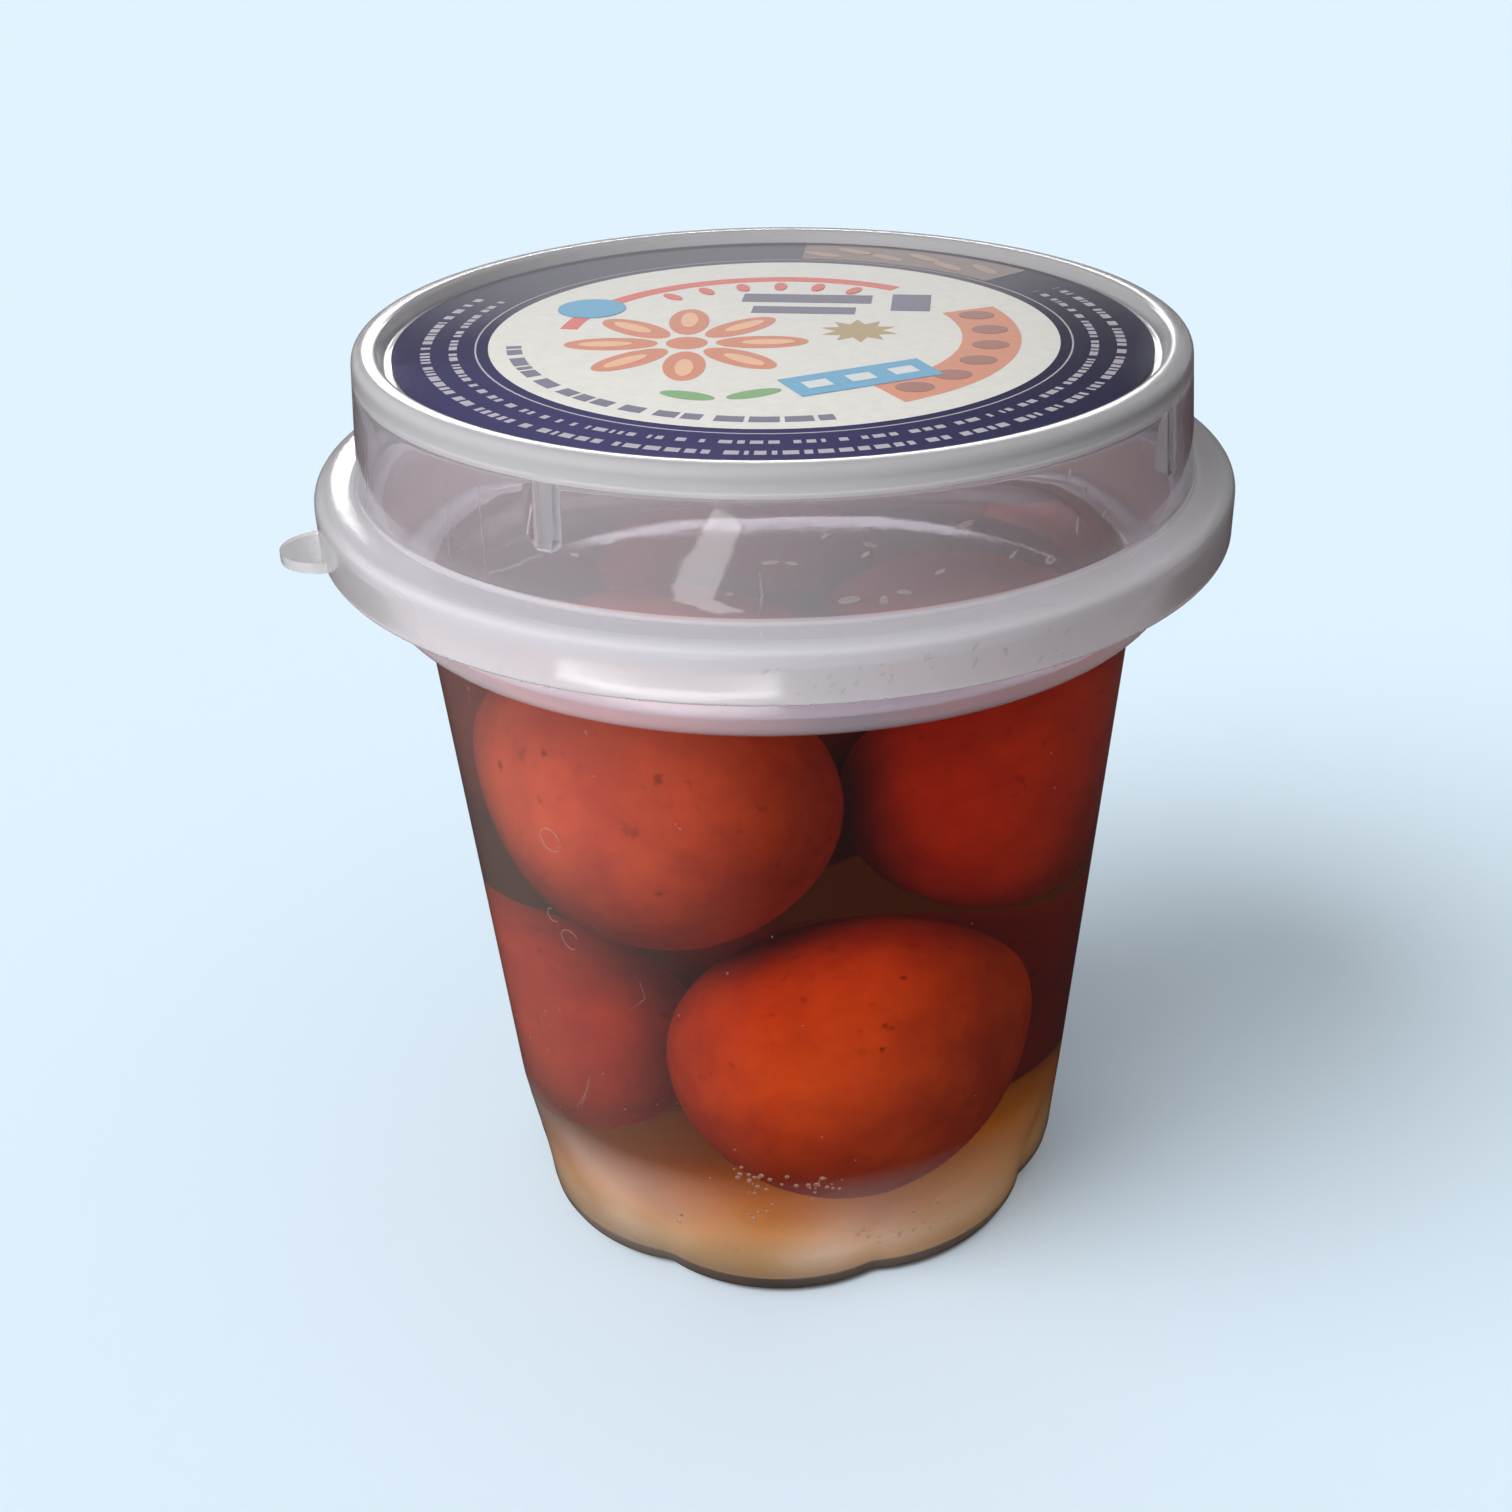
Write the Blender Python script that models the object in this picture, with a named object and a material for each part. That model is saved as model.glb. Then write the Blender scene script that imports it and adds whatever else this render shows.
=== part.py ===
"""A tub of gulab jamun: six syrup-soaked dumplings in a clear cup with a press-on lid.

Units are metres and +Z is up. The origin is the centre of the flat base that the tub
stands on, and -Y is the side that shows the front of the lid's label.
"""

import math

import bmesh
import bpy

MM = 0.001

# Driving dimensions
FIT_GAP = 0.3 * MM            # clearance between pieces that touch in the real tub
TURN_STEPS = 56               # facets round the cup, the lid and the syrup

BASE_RADIUS = 32.4 * MM
BASE_FILLET = 3.56 * MM
WALL_SLOPE = 0.0791           # outward run of the cup's side for each unit of height
CUP_WALL = 1.3 * MM
LEDGE_HEIGHT = 77.4 * MM      # underside of the ledge where the side steps outwards
LEDGE_RADIUS = 42.1 * MM
CUP_RIM_HEIGHT = 88.1 * MM
CUP_RIM_RADIUS = 46.2 * MM

LOBE_COUNT = 8                # scallops pressed into the cup's foot
LOBE_DEPTH = 1.62 * MM
LOBE_SHARPNESS = 0.70
LOBE_FADE = (3.6 * MM, 16.0 * MM)
LOBE_PHASE = math.radians(-96.4)

LID_SHEET = 0.9 * MM
SKIRT_RADIUS = 47.5 * MM
SKIRT_BOTTOM = 83.56 * MM
SHOULDER_HEIGHT = 89.31 * MM
DRUM_FOOT_RADIUS = 43.2 * MM
DRUM_TOP_RADIUS = 42.2 * MM
CREST_HEIGHT = 102.87 * MM
PLATE_HEIGHT = 101.15 * MM
PLATE_RADIUS = 39.2 * MM

RIB_ANGLES = (-166.0, -119.0, -28.0)
RIB_SIZE = (1.5 * MM, 2.0 * MM, 7.0 * MM)

TAB_ANGLE = -164.0
TAB_REACH = 51.4 * MM
TAB_WIDTH = 9.0 * MM
TAB_THICKNESS = 1.1 * MM

LABEL_RADIUS = 38.39 * MM
LABEL_THICKNESS = 0.25 * MM

SYRUP_LEVEL = 77.8 * MM

# Each dumpling: centre x, y, z, then half width and half height, in millimetres
JAMUNS = {
    "jamun_front_lower": (5.70, -14.57, 26.70, 16.83, 18.35),
    "jamun_left_upper": (-11.94, -14.27, 59.88, 16.49, 16.83),
    "jamun_left_lower": (-19.18, 2.08, 23.24, 12.92, 15.02),
    "jamun_right_upper": (19.21, -2.72, 56.92, 15.46, 15.51),
    "jamun_right_lower": (4.54, 16.44, 18.63, 14.79, 14.99),
    "jamun_back_upper": (-5.27, 17.84, 56.00, 16.18, 16.40),
}
JAMUN_STEPS = (20, 10)        # facets round and facets from pole to pole
JAMUN_UNEVENNESS = 0.006      # share of the radius by which the skin sinks at most


def clear_scene():
    """Remove whatever the file holds."""
    for thing in list(bpy.data.objects):
        bpy.data.objects.remove(thing, do_unlink=True)


def plain_material(name, colour, roughness):
    """A Principled material of one colour."""
    material = bpy.data.materials.new(name)
    material.use_nodes = True
    shader = material.node_tree.nodes["Principled BSDF"]
    shader.inputs["Base Color"].default_value = (*colour, 1.0)
    shader.inputs["Roughness"].default_value = roughness
    shader.inputs["Metallic"].default_value = 0.0
    return material


def add_object(name, bm, material=None):
    """Turn a bmesh into a smooth-shaded object with outward faces."""
    bmesh.ops.recalc_face_normals(bm, faces=bm.faces)
    mesh = bpy.data.meshes.new(name)
    bm.to_mesh(mesh)
    bm.free()
    mesh.shade_smooth()
    mesh.set_sharp_from_angle(angle=math.radians(35))
    if material:
        mesh.materials.append(material)
    thing = bpy.data.objects.new(name, mesh)
    bpy.context.collection.objects.link(thing)
    return thing


def arc(centre, radius, start, end, steps):
    """Points (r, z) along an arc, with the angles in degrees from the +r direction."""
    points = []
    for step in range(steps + 1):
        angle = math.radians(start + (end - start) * step / steps)
        r = centre[0] + radius * math.cos(angle)
        z = centre[1] + radius * math.sin(angle)
        points.append((r, z))
    return points


def turned(outline):
    """Spin a closed outline of (r, z) points, which starts and ends on the axis, about Z."""
    bm = bmesh.new()
    start = LOBE_PHASE + math.pi / LOBE_COUNT
    corners = []
    for r, z in outline:
        corners.append(bm.verts.new((r * math.cos(start), r * math.sin(start), z)))
    edges = [bm.edges.new(pair) for pair in zip(corners, corners[1:])]
    bmesh.ops.spin(
        bm,
        geom=corners + edges,
        cent=(0.0, 0.0, 0.0),
        axis=(0.0, 0.0, 1.0),
        angle=2.0 * math.pi,
        steps=TURN_STEPS,
        use_merge=True,
    )
    bmesh.ops.remove_doubles(bm, verts=bm.verts, dist=0.001 * MM)
    return bm


def side_radius(height):
    """Outer radius of the cup's straight side at a height."""
    return BASE_RADIUS + WALL_SLOPE * (height - BASE_FILLET)


def press_lobes(bm):
    """Sink grooves between the lobes of the foot, fading out up the side."""
    low, high = LOBE_FADE
    for corner in bm.verts:
        r = math.hypot(corner.co.x, corner.co.y)
        if r < BASE_RADIUS / 2:
            continue
        angle = math.atan2(corner.co.y, corner.co.x)
        rise = min(max((corner.co.z - low) / (high - low), 0.0), 1.0)
        fade = 1.0 - rise * rise * (3.0 - 2.0 * rise)
        bulge = abs(math.cos(LOBE_COUNT / 2 * (angle - LOBE_PHASE))) ** LOBE_SHARPNESS
        scale = 1.0 - LOBE_DEPTH * (1.0 - bulge) * fade / r
        corner.co.x *= scale
        corner.co.y *= scale


def foot_outline(inset):
    """Half section of the foot and lower side, moved inwards from the outside by inset."""
    radius = BASE_RADIUS - inset
    fillet = BASE_FILLET - inset / 2
    foot_centre = (radius - fillet, inset + fillet)
    points = [(0.0, inset)]
    points += arc(foot_centre, fillet, -90, 0, 3)
    for height in (9.0 * MM, LOBE_FADE[1]):
        points.append((side_radius(height) - inset, height))
    return points


def make_cup():
    """The clear cup: lobed foot, tapered side, ledge, straight collar and rim."""
    ledge_side = side_radius(LEDGE_HEIGHT)
    corner = 0.8 * MM
    collar_top = CUP_RIM_HEIGHT - 1.9 * MM
    outside = foot_outline(0.0)
    outside += [
        (ledge_side, LEDGE_HEIGHT - 0.2 * MM),
        (LEDGE_RADIUS - corner, LEDGE_HEIGHT),
        (LEDGE_RADIUS, LEDGE_HEIGHT + corner),
        (LEDGE_RADIUS, collar_top),
        (CUP_RIM_RADIUS, collar_top + 0.3 * MM),
        (CUP_RIM_RADIUS, CUP_RIM_HEIGHT - 0.3 * MM),
        (CUP_RIM_RADIUS - 0.3 * MM, CUP_RIM_HEIGHT),
    ]
    inside = foot_outline(CUP_WALL)
    inside += [
        (ledge_side - CUP_WALL, LEDGE_HEIGHT + CUP_WALL),
        (LEDGE_RADIUS - CUP_WALL, LEDGE_HEIGHT + CUP_WALL + 0.4 * MM),
        (LEDGE_RADIUS - CUP_WALL, CUP_RIM_HEIGHT),
    ]
    bm = turned(outside + inside[::-1])
    press_lobes(bm)
    return add_object("cup", bm, plain_material("clear_cup", (0.82, 0.84, 0.86), 0.15))


def union(target, addition):
    """Join a helper solid to a piece with a Boolean and hide the helper."""
    addition.hide_render = True
    addition.display_type = "WIRE"
    joint = target.modifiers.new("join_" + addition.name, "BOOLEAN")
    joint.operation = "UNION"
    joint.solver = "EXACT"
    joint.object = addition


def box_at(name, size, radius, angle, bottom):
    """A block whose outer face stands at a radius and angle, with its foot at a height."""
    bm = bmesh.new()
    bmesh.ops.create_cube(bm, size=1.0)
    bmesh.ops.scale(bm, vec=size, verts=bm.verts)
    move = (radius - size[0] / 2, 0.0, bottom + size[2] / 2)
    bmesh.ops.translate(bm, vec=move, verts=bm.verts)
    block = add_object(name, bm)
    block.rotation_euler.z = math.radians(angle)
    return block


def make_tab(root_radius):
    """The thin round-ended tongue that lifts the lid off, as a hidden helper solid."""
    bm = bmesh.new()
    half = TAB_WIDTH / 2
    round_centre = (TAB_REACH - half, 0.0)
    rim = arc(round_centre, half, -90, 90, 8)
    rim += [(root_radius, half), (root_radius, -half)]
    corners = [bm.verts.new((x, y, SKIRT_BOTTOM + 0.2 * MM)) for x, y in rim]
    face = bm.faces.new(corners)
    lifted = bmesh.ops.extrude_face_region(bm, geom=[face])["geom"]
    top = [item for item in lifted if isinstance(item, bmesh.types.BMVert)]
    bmesh.ops.translate(bm, vec=(0.0, 0.0, TAB_THICKNESS), verts=top)
    tab = add_object("tab_helper", bm)
    tab.rotation_euler.z = math.radians(TAB_ANGLE)
    return tab


def make_lid():
    """The press-on lid: sunk plate, raised crest, drum, shoulder, skirt, ribs and tab."""
    sheet = LID_SHEET
    skirt_round = 0.9 * MM
    outside = [
        (0.0, PLATE_HEIGHT),
        (PLATE_RADIUS, PLATE_HEIGHT),
        (PLATE_RADIUS + 0.7 * MM, CREST_HEIGHT),
        (DRUM_TOP_RADIUS - 0.6 * MM, CREST_HEIGHT),
        (DRUM_TOP_RADIUS, CREST_HEIGHT - 1.6 * MM),
        (DRUM_FOOT_RADIUS, SHOULDER_HEIGHT),
        (SKIRT_RADIUS - skirt_round, SHOULDER_HEIGHT),
        (SKIRT_RADIUS, SHOULDER_HEIGHT - skirt_round),
        (SKIRT_RADIUS, SKIRT_BOTTOM),
    ]
    inside = [
        (0.0, PLATE_HEIGHT - sheet),
        (PLATE_RADIUS + 0.3 * MM, PLATE_HEIGHT - sheet),
        (DRUM_TOP_RADIUS - sheet, PLATE_HEIGHT - sheet - 0.7 * MM),
        (DRUM_FOOT_RADIUS - sheet, SHOULDER_HEIGHT - sheet),
        (SKIRT_RADIUS - sheet - 0.3 * MM, SHOULDER_HEIGHT - sheet),
        (SKIRT_RADIUS - sheet, SHOULDER_HEIGHT - sheet - 0.3 * MM),
        (SKIRT_RADIUS - sheet, SKIRT_BOTTOM),
    ]
    bm = turned(outside + inside[::-1])
    lid = add_object("lid", bm, plain_material("frosted_lid", (0.78, 0.80, 0.83), 0.3))
    rib_radius = DRUM_TOP_RADIUS - sheet / 4
    rib_bottom = PLATE_HEIGHT - sheet / 2 - RIB_SIZE[2]
    for number, angle in enumerate(RIB_ANGLES, start=1):
        rib = box_at(f"rib_helper_{number}", RIB_SIZE, rib_radius, angle, rib_bottom)
        union(lid, rib)
    union(lid, make_tab(SKIRT_RADIUS - sheet / 2))
    return lid


def make_label():
    """The printed disc that lies in the lid's recess."""
    bottom = PLATE_HEIGHT + FIT_GAP
    top = bottom + LABEL_THICKNESS
    bm = turned([(0.0, top), (LABEL_RADIUS, top), (LABEL_RADIUS, bottom), (0.0, bottom)])
    return add_object("label", bm, plain_material("navy_label", (0.03, 0.05, 0.16), 0.4))


def jamun_mesh(shape, clearance, number):
    """A dumpling's skin: an ellipsoid with shallow dents, grown by a clearance."""
    x, y, z, half_width, half_height = (value * MM for value in shape)
    bm = bmesh.new()
    around, upwards = JAMUN_STEPS
    bmesh.ops.create_uvsphere(bm, u_segments=around, v_segments=upwards, radius=1.0)
    for corner in bm.verts:
        angle = math.atan2(corner.co.y, corner.co.x)
        wave = math.sin(2.0 * angle + number) * math.cos(3.0 * corner.co.z + number)
        sink = 1.0 - JAMUN_UNEVENNESS * (0.5 + 0.5 * wave)
        corner.co.x = x + corner.co.x * (half_width * sink + clearance)
        corner.co.y = y + corner.co.y * (half_width * sink + clearance)
        corner.co.z = z + corner.co.z * (half_height * sink + clearance)
    return bm


def make_jamuns():
    """The six dumplings, upper ones paler than the ones packed beneath them."""
    for number, (name, shape) in enumerate(JAMUNS.items()):
        shade = 1.0 - 0.06 * number
        colour = (0.42 * shade, 0.075 * shade, 0.03 * shade)
        skin = plain_material("soaked_" + name, colour, 0.35)
        add_object(name, jamun_mesh(shape, 0.0, number), skin)


def make_syrup():
    """The syrup that fills the cup to its level, hollowed round each dumpling."""
    inset = CUP_WALL + FIT_GAP
    outline = foot_outline(inset)
    outline += [(side_radius(SYRUP_LEVEL) - inset, SYRUP_LEVEL), (0.0, SYRUP_LEVEL)]
    bm = turned(outline)
    press_lobes(bm)
    syrup = add_object("syrup", bm, plain_material("amber_syrup", (0.55, 0.24, 0.08), 0.1))
    for number, (name, shape) in enumerate(JAMUNS.items()):
        hollow = add_object("hollow_" + name, jamun_mesh(shape, FIT_GAP, number))
        hollow.hide_render = True
        hollow.display_type = "WIRE"
        cut = syrup.modifiers.new("cut_" + name, "BOOLEAN")
        cut.operation = "DIFFERENCE"
        cut.solver = "EXACT"
        cut.object = hollow
    return syrup


def main():
    clear_scene()
    make_cup()
    make_lid()
    make_label()
    make_jamuns()
    make_syrup()


main()
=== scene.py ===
"""Looks of a lidded tub of gulab jamun: finishes, syrup, dumplings, label, light and camera.

Everything is in metres in the frame of the CAD model: +Z is up, the origin is the centre
of the flat base, and the camera stands on the -Y side.
"""

import math
import random

import bmesh
import bpy
import numpy as np
from mathutils import Matrix, Vector, noise


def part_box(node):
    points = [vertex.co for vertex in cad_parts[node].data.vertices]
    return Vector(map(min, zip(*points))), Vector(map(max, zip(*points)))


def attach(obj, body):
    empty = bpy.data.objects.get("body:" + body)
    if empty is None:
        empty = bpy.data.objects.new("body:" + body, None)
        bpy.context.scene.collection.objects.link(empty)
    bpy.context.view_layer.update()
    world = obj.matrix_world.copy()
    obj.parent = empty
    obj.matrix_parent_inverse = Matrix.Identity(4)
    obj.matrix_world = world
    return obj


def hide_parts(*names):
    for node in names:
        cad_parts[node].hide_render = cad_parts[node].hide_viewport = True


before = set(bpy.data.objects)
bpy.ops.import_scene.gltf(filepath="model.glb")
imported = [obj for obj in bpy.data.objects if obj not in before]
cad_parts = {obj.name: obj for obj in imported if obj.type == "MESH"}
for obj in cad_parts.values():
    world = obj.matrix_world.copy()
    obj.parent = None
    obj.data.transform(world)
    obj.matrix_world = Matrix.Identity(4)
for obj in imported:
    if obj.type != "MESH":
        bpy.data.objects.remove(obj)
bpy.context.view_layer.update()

MM = 0.001

# Cup
BASE_RADIUS = 32.4 * MM
BASE_FILLET = 3.56 * MM
BASE_EDGE = (15.0 * MM, 27.0 * MM)
WALL_SLOPE = 0.0791
CUP_WALL = 1.3 * MM
LEDGE_HEIGHT = 77.4 * MM
LEDGE_RADIUS = 42.1 * MM
CUP_RIM_RADIUS = 46.2 * MM
LOBE_COUNT = 8
LOBE_DEPTH = 1.62 * MM
LOBE_SHARPNESS = 0.70
LOBE_FADE = (3.6 * MM, 16.0 * MM)
LOBE_PHASE = math.radians(-96.4)

# Lid
LID_SHEET = 0.9 * MM
SKIRT_RADIUS = 47.5 * MM
SHOULDER_HEIGHT = 89.31 * MM
DRUM_FOOT_RADIUS = 43.2 * MM
DRUM_TOP_RADIUS = 42.2 * MM
PLATE_HEIGHT = 101.15 * MM
PLATE_RADIUS = 39.2 * MM
RIB_ANGLES = (-166.0, -119.0, -28.0)
RIB_SIZE = (1.5 * MM, 2.0 * MM, 7.0 * MM)
TAB_ANGLE = -164.0
TAB_WIDTH = 9.0 * MM
TAB_REACH = 51.4 * MM
TAB_THICKNESS = 1.1 * MM

# Camera, from the fit to the tub's outline
CAMERA_PLACE = Vector((0.0, -188.47 * MM, 156.90 * MM))
CAMERA_PITCH = math.radians(29.0)
CAMERA_YAW = math.radians(3.125)
CAMERA_ROLL = math.radians(0.105)
CAMERA_LENS = 44.646
CAMERA_SHIFT = -0.0794

ROUND_STEPS = 192

# Light: the floor's brightness is 1, of which the even surround gives the first share.
# Angles are an azimuth and an elevation in degrees.
AMBIENT = 0.30
KEY_ANGLES = (-128.0, 35.0)
KEY_STRENGTH = 3.9
LOW_FILL_ANGLES = (-66.0, 12.0)
LOW_FILL_STRENGTH = 0.75
BACK_FILL_ANGLES = (62.0, 22.0)
BACK_FILL_STRENGTH = 0.9
FOOT_GLOW_ANGLES = ((12.0, 13.0), (-172.0, 12.0))
FOOT_GLOW_STRENGTH = 2.4
FOOT_GLOW_COLOUR = (1.0, 0.90, 0.76)
FLOOR_KEY_ANGLES = (-156.0, 48.0)
FLOOR_KEY_SPREAD = 40.0
FLOOR_KEY_SHARE = 0.51
FLOOR_FILL_SHARE = 0.26
BACK_CARD_TOP = 0.318
FLOOR_COLOUR = (0.745, 0.888, 1.0)
SURROUND_COLOUR = (0.055, 0.030, 0.032)
GLOW_COLOUR = (0.80, 0.66, 0.50)
GLOW_REACH = (0.050, 0.078)

# Tapered walls as (radius, height) at their foot and top
CUP_SIDE = ((BASE_RADIUS, BASE_FILLET), (BASE_RADIUS + WALL_SLOPE * (LEDGE_HEIGHT - BASE_FILLET), LEDGE_HEIGHT))
DRUM_SIDE = ((DRUM_FOOT_RADIUS, SHOULDER_HEIGHT), (DRUM_TOP_RADIUS - 0.05 * MM, PLATE_HEIGHT))
SKIRT_SIDE = ((SKIRT_RADIUS, 83.0 * MM), (SKIRT_RADIUS, 88.0 * MM))

# Label print
FIELD_SHARE = 0.755
INK_LAYER = 0.02 * MM


# ---------------------------------------------------------------- geometry helpers

def fillet(points, steps=5):
    """Round the corners of an (r, z, corner radius) outline and return (r, z) points."""
    result = []
    for index, (r, z, radius) in enumerate(points):
        if radius == 0.0 or index in (0, len(points) - 1):
            result.append((r, z))
            continue
        corner = Vector((r, z))
        back = Vector(points[index - 1][:2]) - corner
        ahead = Vector(points[index + 1][:2]) - corner
        half = back.angle(ahead) / 2.0
        reach = min(radius / math.tan(half), back.length * 0.49, ahead.length * 0.49)
        start = corner + back.normalized() * reach
        end = corner + ahead.normalized() * reach
        for step in range(steps + 1):
            t = step / steps
            bend = (1 - t) ** 2 * start + 2 * t * (1 - t) * corner + t ** 2 * end
            result.append((bend.x, bend.y))
    return result


def subdivided(points, longest):
    """Add points so that no straight run is longer than a limit."""
    result = [points[0]]
    for first, second in zip(points, points[1:]):
        run = math.dist(first, second)
        parts = max(1, math.ceil(run / longest))
        for part in range(1, parts + 1):
            t = part / parts
            result.append((first[0] + (second[0] - first[0]) * t,
                           first[1] + (second[1] - first[1]) * t))
    return result


def lobe_shrink(angle, height):
    """How far the foot's outline lies inside its circle at an angle and a height."""
    low, high = LOBE_FADE
    rise = min(max((height - low) / (high - low), 0.0), 1.0)
    fade = 1.0 - rise * rise * (3.0 - 2.0 * rise)
    bulge = abs(math.cos(LOBE_COUNT / 2 * (angle - LOBE_PHASE))) ** LOBE_SHARPNESS
    return LOBE_DEPTH * (1.0 - bulge) * fade


def turned_mesh(name, outline, steps=ROUND_STEPS, lobed=False, pick=None):
    """Turn an outline about Z. pick gives a face's material index from r, z and position."""
    bm = bmesh.new()
    rings = []
    for r, z in outline:
        if r < 1e-7:
            rings.append([bm.verts.new((0.0, 0.0, z))])
            continue
        ring = []
        for step in range(steps):
            angle = 2.0 * math.pi * step / steps
            reach = r
            if lobed and r > BASE_RADIUS / 2:
                reach = r - lobe_shrink(angle, z)
            ring.append(bm.verts.new((reach * math.cos(angle), reach * math.sin(angle), z)))
        rings.append(ring)
    for index, (low, high) in enumerate(zip(rings, rings[1:])):
        for step in range(steps):
            after = (step + 1) % steps
            if len(low) == 1 and len(high) == 1:
                continue
            if len(low) == 1:
                corners = (low[0], high[after], high[step])
            elif len(high) == 1:
                corners = (low[step], low[after], high[0])
            else:
                corners = (low[step], low[after], high[after], high[step])
            face = bm.faces.new(corners)
            face.smooth = True
            if pick:
                face.material_index = pick(index)
    bmesh.ops.recalc_face_normals(bm, faces=bm.faces)
    mesh = bpy.data.meshes.new(name)
    bm.to_mesh(mesh)
    bm.free()
    return mesh


def add_piece(name, mesh, materials, replaces=()):
    """Make an object that rides on the tub."""
    for material in materials:
        mesh.materials.append(material)
    piece = bpy.data.objects.new(name, mesh)
    bpy.context.scene.collection.objects.link(piece)
    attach(piece, "root")
    if replaces:
        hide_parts(*replaces)
    return piece


# ---------------------------------------------------------------- material helpers

class Nodes:
    """A material's node tree with short calls for adding and joining nodes."""

    def __init__(self, name):
        self.material = bpy.data.materials.new(name)
        self.material.use_nodes = True
        self.tree = self.material.node_tree
        self.tree.nodes.clear()
        self.output = self.tree.nodes.new("ShaderNodeOutputMaterial")
        self.place = None

    def add(self, kind, **values):
        node = self.tree.nodes.new("ShaderNode" + kind)
        for key, value in values.items():
            setattr(node, key, value)
        return node

    def join(self, source, target):
        self.tree.links.new(source, target)

    def position(self):
        """Object coordinates in metres."""
        if self.place is None:
            self.place = self.add("TexCoord").outputs["Object"]
        return self.place

    def axes(self):
        """The X, Y and Z of the position."""
        split = self.add("SeparateXYZ")
        self.join(self.position(), split.inputs[0])
        return split.outputs["X"], split.outputs["Y"], split.outputs["Z"]

    def distance(self, point):
        """How far the position is from a point."""
        node = self.add("VectorMath", operation="DISTANCE")
        self.join(self.position(), node.inputs[0])
        node.inputs[1].default_value = point
        return node.outputs["Value"]

    def noise(self, scale, detail=3.0, roughness=0.5, stretch=None):
        node = self.add("TexNoise")
        node.inputs["Scale"].default_value = scale
        node.inputs["Detail"].default_value = detail
        node.inputs["Roughness"].default_value = roughness
        source = self.position()
        if stretch:
            mapping = self.add("Mapping")
            mapping.inputs["Scale"].default_value = stretch
            self.join(source, mapping.inputs["Vector"])
            source = mapping.outputs["Vector"]
        self.join(source, node.inputs["Vector"])
        return node.outputs["Fac"]

    def ramp(self, factor, stops):
        node = self.add("ValToRGB")
        elements = node.color_ramp.elements
        while len(elements) < len(stops):
            elements.new(0.5)
        for element, (place, colour) in zip(elements, stops):
            element.position = place
            element.color = (*colour, 1.0)
        self.join(factor, node.inputs["Fac"])
        return node.outputs["Color"]

    def mix_colour(self, factor, first, second):
        node = self.add("Mix", data_type="RGBA")
        for value, socket in ((factor, node.inputs[0]), (first, node.inputs[6]), (second, node.inputs[7])):
            if isinstance(value, (int, float)):
                socket.default_value = value
            elif isinstance(value, tuple):
                socket.default_value = (*value, 1.0)
            else:
                self.join(value, socket)
        return node.outputs[2]

    def math(self, operation, first, second=0.0, third=0.0):
        node = self.add("Math", operation=operation)
        for value, socket in zip((first, second, third), node.inputs):
            if isinstance(value, (int, float)):
                socket.default_value = value
            else:
                self.join(value, socket)
        return node.outputs[0]

    def remap(self, value, low, high, new_low, new_high):
        node = self.add("MapRange")
        self.join(value, node.inputs["Value"])
        for key, number in (("From Min", low), ("From Max", high), ("To Min", new_low), ("To Max", new_high)):
            node.inputs[key].default_value = number
        return node.outputs["Result"]

    def bump(self, height, strength, distance):
        node = self.add("Bump")
        node.inputs["Strength"].default_value = strength
        node.inputs["Distance"].default_value = distance
        self.join(height, node.inputs["Height"])
        return node.outputs["Normal"]

    def principled(self, **values):
        node = self.add("BsdfPrincipled")
        for key, value in values.items():
            socket = node.inputs[key.replace("_", " ")]
            if isinstance(value, (int, float)):
                socket.default_value = value
            elif isinstance(value, tuple):
                if len(socket.default_value) == 4:
                    value = (*value, 1.0)
                socket.default_value = value
            else:
                self.join(value, socket)
        return node

    def let_lamps_through(self, shader, tint):
        """Let lamps reach what is behind a clear surface."""
        path = self.add("LightPath")
        clear = self.add("BsdfTransparent")
        clear.inputs["Color"].default_value = (*tint, 1.0)
        mix = self.add("MixShader")
        self.join(path.outputs["Is Shadow Ray"], mix.inputs[0])
        self.join(shader, mix.inputs[1])
        self.join(clear.outputs[0], mix.inputs[2])
        return mix.outputs[0]

    def show(self, shader):
        self.join(shader, self.output.inputs["Surface"])
        return self.material


# ---------------------------------------------------------------- materials

def clear_cup_material():
    """Clear polypropylene, faintly milky, more so in patches round the foot; the milkiness is partly real and
    partly painted reflection, stronger towards the left side.
    """
    n = Nodes("clear_cup")
    x, y, z = n.axes()
    rising = n.remap(z, 0.0025, 0.0065, 0.35, 1.0)
    low = n.math("MULTIPLY", rising, n.remap(z, 0.007, 0.019, 1.0, 0.0))
    # Painted reflection: round the foot the milkiness is heavier on the left, standing in for bright surroundings
    # mirrored in the wall.
    left = n.remap(x, 0.006, 0.028, 1.0, 0.15)
    patch = n.remap(n.noise(45.0, 1.5), 0.40, 0.60, 0.25, 1.0)
    foot = n.math("MINIMUM", n.math("MULTIPLY", n.math("MULTIPLY", low, left), patch), 1.5)
    # Painted reflection: a faint milky veil down the left side stands in for bright surroundings mirrored in the
    # wall.
    side = n.remap(x, -0.034, -0.002, 0.055, 0.0)
    haze_and_painted_reflection = n.math("ADD", n.math("MULTIPLY", foot, 0.34), side)
    clear = n.math("SUBTRACT", 0.993, haze_and_painted_reflection)
    normal = n.bump(n.noise(200.0, 2.0), 0.02, 0.0004)
    body = n.principled(
        Base_Color=(0.93, 0.90, 0.92), Roughness=0.05, IOR=1.45,
        Transmission_Weight=clear, Normal=normal,
    )
    return n.show(n.let_lamps_through(body.outputs[0], (0.92, 0.92, 0.92)))


def hazy_collar_material():
    """The cup above its ledge, where grease and dew on the wall make it milky."""
    n = Nodes("hazy_collar")
    body = n.principled(
        Base_Color=(0.80, 0.74, 0.84), Roughness=0.14, IOR=1.45, Transmission_Weight=0.68,
    )
    return n.show(n.let_lamps_through(body.outputs[0], (0.8, 0.8, 0.8)))


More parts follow.
